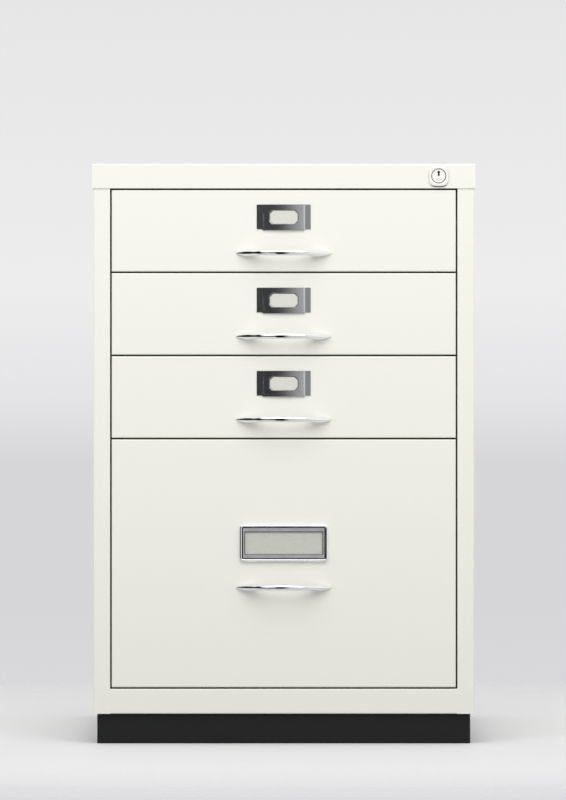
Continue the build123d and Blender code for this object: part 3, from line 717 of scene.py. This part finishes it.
def label_frame(shape):
    """The frame, from its outline over bead, groove and border to the window and round behind."""
    base = bead_height - bead_width / 2
    profile = [(0, 0), (0, 0.5 * base), (0, base)]
    for i in range(1, bead_steps + 1):
        turn = pi * i / bead_steps
        profile.append((bead_width / 2 * (1 - cos(turn)), base + bead_width / 2 * sin(turn)))
    profile += [
        (bead_width, groove_height), (groove_end, groove_height), (groove_end, border_height),
    ]
    inner = [
        (lip_width, border_height), (lip_width, lip_height), (0, lip_height),
        (0, window_depth), (frame_back, window_depth), (frame_back, 0),
    ]
    rings = [inset_ring(*step) for step in profile] + [opening_ring(*step) for step in inner]
    skin(shape, rings + rings[:1], closed=False)
    weld(shape)
    for face in shape.faces:
        if abs(face.calc_center_median().y - (face_y - border_height)) < border_film:
            face.material_index = 1


def shade_fill_line(shape, inner, outer):
    """A closed band of glossy black that lies on the metal between two rings: painted shade."""
    film = Vector((0, -shade_fill_film, 0))
    loops = [inner, outer, [p + film for p in outer], [p + film for p in inner], inner]
    skin(shape, loops, closed=False)
    weld(shape)


shape = bmesh.new()
label_frame(shape)
bead = mesh_piece("file_label_bead", shape, chrome)
satin_chrome = polished("satin_chromium_plate", satin_silver, satin_roughness, satin_streak)
bead.data.materials.append(satin_chrome)
bead.data.set_sharp_from_angle(angle=radians(40))
soften(bead, frame_bevel, degrees=40)
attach(bead, "file_drawer")
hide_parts("file_label_frame")

# The painted shade is a glossy black film, a little wavy like flowed enamel.
painted_shade_fill = grained(
    "painted_shade_fill", shade_fill_black, roughness=0.3, grain=shade_fill_flow, strength=0.4,
    depth=0.05 * mm, IOR=1.5,
)
# Bands of painted shade in the groove and round the window.
shape = bmesh.new()
shade_fill_line(shape, inset_ring(bead_width, groove_height), inset_ring(groove_end, groove_height))
shade_fill_line(shape, opening_ring(lip_width, lip_height), opening_ring(0, lip_height))
enamel = mesh_piece("file_label_shade_fill", shape, painted_shade_fill, smooth=False)
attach(enamel, "file_drawer")

# Styrene sheet is clear, with a sheen that greys the card a little.
clear_sheet = surface(
    "clear_styrene", Base_Color=linear(window_clear), Roughness=0.08, IOR=1.59, Alpha=0.16
)[0]
finish_nodes(["file_label_window"], clear_sheet)


# Lock: a cam lock with a die-cast barrel and nut, nickel plated to a warm, soft mirror, and a
# zinc-plated cam and bar. The plug's face and the cushion-shaped escutcheon round it are moulded,
# white like the cabinet.
shell_white = "#F4F4EC"
shell_grain = 0.6 * mm
shell_half = 12 * mm
shell_up = 12.5 * mm
shell_power = 3.4
shell_points = 96
shell_depth = 3.5 * mm
shell_bore = 9.1 * mm
shell_foot = 1.3 * mm
shell_foot_height = 1.0 * mm
shell_side_height = 1.3 * mm
shoulder_height = 1.5 * mm
shoulder_width = 1.5 * mm
shoulder_steps = 6
mouth_bevel = 0.3 * mm
nickel_silver = "#C8C2B8"
nickel_roughness = 0.16
nickel_streak = 8 * mm

low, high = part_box("lock_escutcheon")
cap_y = high.y
centre_x, centre_z = (low.x + high.x) / 2, (low.z + high.z) / 2


def moulded_abs(name, colour):
    """Injection-moulded ABS: even colour, a fine spark-eroded grain and a soft gloss."""
    return grained(
        name, colour, roughness=0.3, grain=shell_grain, strength=0.25, depth=0.01 * mm, IOR=1.54
    )


def cushion_ring(inset):
    """Cushion outline, drawn in by an inset, as pairs of X and Z."""
    half, up = shell_half - inset, shell_up - inset
    ring = []
    for i in range(shell_points):
        turn = 2 * pi * i / shell_points
        across, rise = cos(turn), sin(turn)
        nearness = abs(across / half) ** shell_power + abs(rise / up) ** shell_power
        reach = nearness ** (-1 / shell_power)
        ring.append((reach * across, reach * rise))
    return ring


def round_ring(radius):
    """Circle of as many points."""
    turns = [2 * pi * i / shell_points for i in range(shell_points)]
    return [(radius * cos(t), radius * sin(t)) for t in turns]


def lock_skin(shape, levels):
    """Skins pairs of an outline about the lock's middle and a height off the cap."""
    rings = [
        [Vector((centre_x + x, cap_y - height, centre_z + z)) for x, z in ring]
        for ring, height in levels
    ]
    skin(shape, rings, closed=False)


foot_ring = cushion_ring(shell_foot)
levels = [(foot_ring, 0), (foot_ring, shell_foot_height), (cushion_ring(0), shell_side_height)]
for i in range(shoulder_steps + 1):
    turn = pi / 2 * i / shoulder_steps
    rise = (shell_depth - shoulder_height - mouth_bevel) * sin(turn)
    levels.append((cushion_ring(shoulder_width * (1 - cos(turn))), shoulder_height + rise))
levels += [
    (round_ring(shell_bore + mouth_bevel), shell_depth),
    (round_ring(shell_bore + mouth_bevel / 3), shell_depth - mouth_bevel / 3),
    (round_ring(shell_bore), shell_depth - mouth_bevel),
    (round_ring(shell_bore), 0),
    (foot_ring, 0),
]
shape = bmesh.new()
lock_skin(shape, levels)
weld(shape)
shell = mesh_piece("lock_cushion_escutcheon", shape, moulded_abs("white_abs", shell_white))
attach(shell, "cabinet")
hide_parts("lock_escutcheon")

satin_nickel = polished("nickel_plate", nickel_silver, nickel_roughness, nickel_streak)
finish_nodes(["lock_barrel", "lock_barrel_nut"], satin_nickel)
finish_nodes(["lock_plug"], moulded_abs("white_enamel", shell_white))
finish_nodes(["lock_cam", "lock_bar", "lock_cam_screw"], bright_zinc)


# Painted shade round the lock, in a dull black rubber. A washer under the escutcheon shows as
# a thin lip below its bottom only, a painted shadow under it; a ring fills the gap round the
# plug as painted shade; and a flap of the same black behind the keyhole's mouth is painted
# shade inside the keyhole.
# Dull black of the lip, the plug ring and the keyhole flap: painted shade.
shade_rubber_black = "#0C0C0C"
shade_rubber_grain = 0.5 * mm
shadow_lip_height = 1.2 * mm
shadow_lip_edge = 0.7 * shadow_lip_height
shadow_lip_inset = 0.7 * mm
shadow_lip_drop = 1.5 * mm
shadow_lip_taper = (0.98, 0.985)
shadow_lip_clearance = 0.4 * mm
ring_inner = 8.25 * mm
ring_clearance = 0.03 * mm
ring_sink = 0.7 * mm
ring_height = 0.8 * mm
keyway_half = 1.08 * mm
keyway_bulb = 1.6 * mm
keyway_up = 6.25 * mm
keyway_foot = 0.1 * mm
keyway_sink = 0.35 * mm
bulb_start, bulb_sweep, bulb_steps = -50, 280, 20
keyhole_shade_sheet = 0.4 * mm

shade_rubber = grained(
    "painted_shade_rubber", shade_rubber_black, roughness=0.75, grain=shade_rubber_grain, strength=0.4,
    depth=0.02 * mm, IOR=1.52, Specular_IOR_Level=0.3,
)
# The lip drops below the escutcheon towards its bottom only, as a painted shadow.
lip = [(x, z - shadow_lip_drop * ease(-z / shell_up)) for x, z in cushion_ring(shadow_lip_inset)]
thin_lip = [(shadow_lip_taper[0] * x, shadow_lip_taper[1] * z) for x, z in lip]
hole = round_ring(shell_bore + shadow_lip_clearance)
around_plug, in_shell = round_ring(ring_inner), round_ring(shell_bore - ring_clearance)
ring_front = shell_depth - ring_sink
ring_back = ring_front - ring_height
shape = bmesh.new()
lock_skin(shape, [
    (hole, 0), (lip, 0), (lip, shadow_lip_edge), (thin_lip, shadow_lip_height), (hole, shadow_lip_height),
    (hole, 0),
])
lock_skin(shape, [
    (around_plug, ring_back), (in_shell, ring_back), (in_shell, ring_front),
    (around_plug, ring_front), (around_plug, ring_back),
])
weld(shape)
shadow_lip_piece = mesh_piece("lock_shadow_lip", shape, shade_rubber, smooth=False)
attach(shadow_lip_piece, "cabinet")

# The keyhole's black flap: painted shade inside the keyhole.
outline = [(keyway_half, keyway_foot)]
for i in range(bulb_steps + 1):
    turn = radians(bulb_start + bulb_sweep * i / bulb_steps)
    outline.append((keyway_bulb * cos(turn), keyway_up - keyway_bulb + keyway_bulb * sin(turn)))
outline.append((-keyway_half, keyway_foot))
low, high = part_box("lock_plug")
plug_x, plug_z = (low.x + high.x) / 2, (low.z + high.z) / 2
shape = bmesh.new()
skin(shape, [
    [Vector((plug_x + x, low.y + sink, plug_z + z)) for x, z in outline]
    for sink in (keyway_sink, keyway_sink + keyhole_shade_sheet)
])
keyhole_shade_piece = mesh_piece("lock_keyhole_shade", shape, shade_rubber, smooth=False)
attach(keyhole_shade_piece, "lock_plug")


# Floor: a pale studio floor of painted board, a little paler at the back, that keeps the
# cabinet's shadow and fades out well behind it. It throws back less light than it shows, as a
# floor does that ends soon outside the picture.
floor_front = "#E2E2E4"
floor_back = "#F4F4F5"
floor_bounce = "#A6A6A8"
floor_gloss_share = 0.5
floor_reach = 6.0
front_line = -0.6
back_line = 0.2
fade_start = 0.7
fade_end = 1.4

floor_paint, tree, shader = surface("studio_floor", Roughness=0.6)
place = add(tree, "ShaderNodeTexCoord").outputs["Object"]
depth = add(tree, "ShaderNodeSeparateXYZ", {"Vector": place}).outputs["Y"]
back = add(
    tree, "ShaderNodeMapRange", {"Value": depth, "From Min": front_line, "From Max": back_line},
    interpolation_type="SMOOTHSTEP",
)
shown = add(
    tree, "ShaderNodeMix",
    {"Factor": back.outputs["Result"], "A": linear(floor_front), "B": linear(floor_back)},
    data_type="RGBA",
)
rays = add(tree, "ShaderNodeLightPath").outputs
seen = add(
    tree, "ShaderNodeMath",
    {0: rays["Is Glossy Ray"], 1: floor_gloss_share, 2: rays["Is Camera Ray"]},
    operation="MULTIPLY_ADD", use_clamp=True,
)
tone = add(
    tree, "ShaderNodeMix",
    {"Factor": seen.outputs["Value"], "A": linear(floor_bounce), "B": shown.outputs["Result"]},
    data_type="RGBA",
)
distance = add(tree, "ShaderNodeVectorMath", {0: place}, operation="LENGTH").outputs["Value"]
fade = add(
    tree, "ShaderNodeMapRange",
    {"Value": distance, "From Min": fade_start, "From Max": fade_end, "To Min": 1.0, "To Max": 0.0},
    interpolation_type="SMOOTHSTEP",
)
tree.links.new(tone.outputs["Result"], shader.inputs["Base Color"])
tree.links.new(fade.outputs["Result"], shader.inputs["Alpha"])
shape = bmesh.new()
bmesh.ops.create_grid(shape, x_segments=1, y_segments=1, size=floor_reach)
floor = mesh_piece("studio_floor", shape, floor_paint, smooth=False)
floor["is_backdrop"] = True


# Light: a softbox above and in front, and a white studio all round. Polished metal also sees the
# dark cards that stand round the camera, which draw the black lines on chrome. The cards' greys,
# and their reaches up and down in radians, are given at azimuths, and the wall's at elevations.
lamp_place = (0, -2.2, 2.4)
lamp_target = (0, 0, 0.45)
lamp_size = (3.4, 2.4)
lamp_power = 52
ambient = 0.68
white = (1, 1, 1, 1)
card_tones = [
    (-104, 1.0), (-94, 0.005), (-41, 0.005), (-37, 0.1), (-15, 0.1), (-12.5, 0.005), (-1, 0.005),
    (11, 0.58), (40, 0.7), (60, 1.0),
]
card_reaches = [
    (-104, 0.9), (-80, 1.15), (-60, 1.15), (-44, 0.6), (-37, 0.36), (-15, 0.36), (-12.5, 0.9),
    (11, 0.8), (60, 0.3),
]
card_fade = 0.75
wall_limit = 4
wall_tones = [
    (-4, "#DCDCDE"), (-2, "#D6D6D8"), (-0.64, "#D6D6D8"), (0, "#E4E4E6"), (1.12, "#EDEDEE"),
    (4, "#E6E6E7"),
]


def aim(thing, target):
    """Turns a lamp to look at a point."""
    thing.rotation_euler = (Vector(target) - thing.location).to_track_quat("-Z", "Y").to_euler()


def studio_band(angle, limit, stops):
    """Colour round the studio by azimuth or elevation, from pairs of degrees and a colour. The
    camera stands at azimuth 0, and right of it is positive."""
    share = add(
        tree, "ShaderNodeMapRange",
        {"Value": angle, "From Min": radians(-limit), "From Max": radians(limit)},
    )
    band = add(tree, "ShaderNodeValToRGB", {"Fac": share.outputs["Result"]})
    elements = band.color_ramp.elements
    while len(elements) < len(stops):
        elements.new(0.5)
    for element, (degrees, colour) in zip(elements, stops):
        element.position = (degrees + limit) / (2 * limit)
        element.color = colour
    return band.outputs["Color"]


softbox = bpy.data.lights.new("softbox", "AREA")
softbox.shape = "RECTANGLE"
softbox.size, softbox.size_y = lamp_size
softbox.energy = lamp_power
lamp = bpy.data.objects.new("softbox", softbox)
lamp.location = lamp_place
bpy.context.scene.collection.objects.link(lamp)
aim(lamp, lamp_target)

world = bpy.data.worlds.new("studio")
bpy.context.scene.world = world
world.use_nodes = True
tree = world.node_tree
view = add(tree, "ShaderNodeTexCoord").outputs["Generated"]
axes = add(tree, "ShaderNodeSeparateXYZ", {"Vector": view}).outputs
toward = add(tree, "ShaderNodeMath", {0: axes["Y"], 1: -1.0}, operation="MULTIPLY").outputs[0]
azimuth = add(tree, "ShaderNodeMath", {0: axes["X"], 1: toward}, operation="ARCTAN2").outputs[0]
elevation = add(tree, "ShaderNodeMath", {0: axes["Z"]}, operation="ARCSINE").outputs[0]
card_tone, card_reach = [
    studio_band(azimuth, 180, [(degrees, (value, value, value, 1)) for degrees, value in stops])
    for stops in (card_tones, card_reaches)
]
wall = studio_band(
    elevation, wall_limit, [(degrees, linear(colour)) for degrees, colour in wall_tones]
)
away = add(tree, "ShaderNodeMath", {0: elevation}, operation="ABSOLUTE").outputs[0]
share = add(tree, "ShaderNodeMath", {0: away, 1: card_reach}, operation="DIVIDE").outputs[0]
mask = add(
    tree, "ShaderNodeMapRange",
    {"Value": share, "From Min": card_fade, "From Max": 1.0, "To Min": 1.0, "To Max": 0.0},
    interpolation_type="SMOOTHSTEP",
).outputs["Result"]
studio = add(
    tree, "ShaderNodeMix", {"Factor": mask, "A": white, "B": card_tone}, data_type="RGBA"
).outputs["Result"]
backgrounds = [
    add(tree, "ShaderNodeBackground", {"Color": colour, "Strength": strength})
    for colour, strength in ((white, ambient), (studio, 1.0), (wall, 1.0))
]
light, cards, seen = [made.outputs["Background"] for made in backgrounds]
rays = add(tree, "ShaderNodeLightPath").outputs
shiny = add(tree, "ShaderNodeMixShader", {0: rays["Is Glossy Ray"], 1: light, 2: cards})
last = add(
    tree, "ShaderNodeMixShader", {0: rays["Is Camera Ray"], 1: shiny.outputs["Shader"], 2: seen}
)
tree.links.new(last.outputs["Shader"], tree.nodes["World Output"].inputs["Surface"])


# Camera: level and square to the front, from across the room, as the photograph was taken.
camera_distance = 7.0
camera_height = 0.4214
camera_side = -0.0009
picture_height = 0.9812
sensor = 36.0

camera = bpy.data.cameras.new("camera")
camera.sensor_width = sensor
camera.lens = sensor * camera_distance / picture_height
eye = bpy.data.objects.new("camera", camera)
eye.location = (camera_side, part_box("file_front")[0].y - camera_distance, camera_height)
eye.rotation_euler = (pi / 2, 0, 0)
bpy.context.scene.collection.objects.link(eye)
bpy.context.scene.camera = eye
bpy.context.scene.view_settings.view_transform = "Standard"

low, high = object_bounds()
